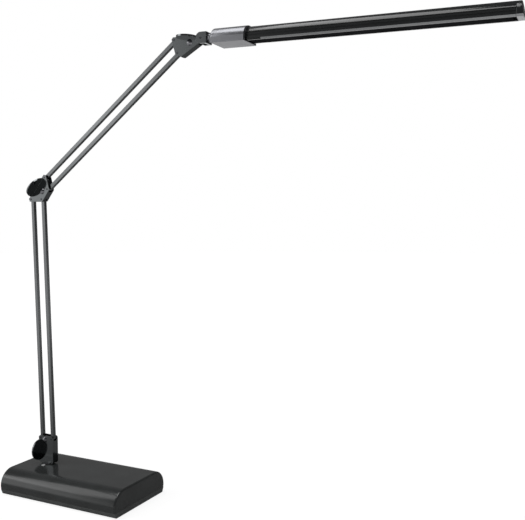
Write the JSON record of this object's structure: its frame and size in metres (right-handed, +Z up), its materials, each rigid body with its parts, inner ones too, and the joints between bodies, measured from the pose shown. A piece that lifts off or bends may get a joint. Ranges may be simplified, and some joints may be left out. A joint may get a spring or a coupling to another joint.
{
  "type": "led table lamp",
  "caption": "Desk lamp with a weighted base, parallel-bar swing arms between folded brackets, and a slim LED light bar that tilts and rolls on its neck.",
  "frame": {"origin": "centre of the foot mat's underside, on the table", "axes": "+X along the base towards the light bar, +Y across the base, +Z up"},
  "size_m": [0.5177, 0.0856, 0.4711],
  "materials": {
    "gloss_black": "gloss",
    "satin_black": "satin",
    "rubber": "matte",
    "steel": "satin",
    "iron": "matte",
    "board": "satin",
    "white_board": "satin",
    "nylon": "satin",
    "button_white": "gloss",
    "gunmetal": "gloss",
    "pin_dark": "satin",
    "bolt_chrome": "polished",
    "bar_grey": "gloss",
    "collar_grey": "satin",
    "bar_black": "gloss",
    "led": "gloss",
    "lens": "satin"
  },
  "bodies": {
    "base": {"base_cover": "gloss_black", "base_tray": "satin_black", "foot_mat": "rubber", "tray_screw_1": "steel", "tray_screw_2": "steel", "tray_screw_3": "steel", "tray_screw_4": "steel", "counterweight": "iron", "driver_board": "board", "tact_switch": "satin_black", "dc_jack": "satin_black", "swivel_washer": "nylon"},
    "button": {"power_button": "button_white"},
    "swivel": {"swivel_post": "steel", "swivel_nut": "steel", "base_bracket": "gunmetal", "base_pin_rear": "pin_dark", "base_pin_front": "pin_dark", "base_bolt": "bolt_chrome", "base_nut": "steel"},
    "lower_rear": {"lower_bar_rear": "bar_grey"},
    "lower_front": {"lower_bar_front": "bar_grey"},
    "elbow": {"elbow_bracket": "gunmetal", "elbow_pin_rear": "pin_dark", "elbow_pin_front": "pin_dark", "elbow_pin_top": "pin_dark", "elbow_pin_low": "pin_dark", "elbow_bolt": "bolt_chrome", "elbow_nut": "steel"},
    "upper_top": {"upper_bar_top": "bar_grey"},
    "upper_low": {"upper_bar_low": "bar_grey"},
    "head_joint": {"head_bracket": "gunmetal", "head_pin_top": "pin_dark", "head_pin_low": "pin_dark", "head_bolt": "bolt_chrome", "head_nut": "steel", "tilt_pin": "pin_dark"},
    "fork": {"tilt_fork": "gunmetal", "roll_spindle": "steel", "spindle_clip": "steel"},
    "head": {"head_collar": "collar_grey", "light_bar": "bar_black", "led_board": "white_board", "led_chips": "led", "diffuser_lens": "lens", "end_cap": "gloss_black"}
  },
  "joints": [
    {"name": "power_press", "type": "slide", "parent": "base", "child": "button", "axis": [0, 0, -1], "range_m": [0, 0.0005], "stiffness_N_per_m": 600},
    {"name": "base_swivel", "type": "hinge", "parent": "base", "child": "swivel", "pos_m": [-0.0471, 0, 0.026], "axis": [0, 0, 1], "range_deg": [-90, 90]},
    {"name": "lower_arm", "type": "hinge", "parent": "swivel", "child": "lower_rear", "pos_m": [-0.0544, 0, 0.0542], "axis": [0, 1, 0], "range_deg": [-30, 50]},
    {"name": "lower_front_turn", "type": "hinge", "parent": "swivel", "child": "lower_front", "pos_m": [-0.0398, 0, 0.0542], "axis": [0, 1, 0], "range_deg": [-30, 50]},
    {"name": "elbow_level", "type": "hinge", "parent": "lower_rear", "child": "elbow", "pos_m": [-0.0626, 0, 0.31507], "axis": [0, 1, 0], "range_deg": [-50, 30]},
    {"name": "upper_arm", "type": "hinge", "parent": "elbow", "child": "upper_top", "pos_m": [-0.0434, 0, 0.33817], "axis": [0, 1, 0], "range_deg": [-38, 40]},
    {"name": "upper_low_turn", "type": "hinge", "parent": "elbow", "child": "upper_low", "pos_m": [-0.03975, 0, 0.32569], "axis": [0, 1, 0], "range_deg": [-38, 40]},
    {"name": "head_level", "type": "hinge", "parent": "upper_top", "child": "head_joint", "pos_m": [0.12263, 0, 0.46511], "axis": [0, 1, 0], "range_deg": [-40, 38]},
    {"name": "head_tilt", "type": "hinge", "parent": "head_joint", "child": "fork", "pos_m": [0.15293, 0, 0.46381], "axis": [0, 1, 0], "range_deg": [-50, 50]},
    {"name": "head_roll", "type": "hinge", "parent": "fork", "child": "head", "pos_m": [0.15293, 0, 0.46381], "axis": [0.9995, 0, -0.0314], "range_deg": [-90, 90]}
  ],
  "couplings": [
    {"joint": "lower_front_turn", "follows": "lower_arm", "ratio": 1},
    {"joint": "elbow_level", "follows": "lower_arm", "ratio": -1},
    {"joint": "upper_low_turn", "follows": "upper_arm", "ratio": 1},
    {"joint": "head_level", "follows": "upper_arm", "ratio": -1}
  ]
}
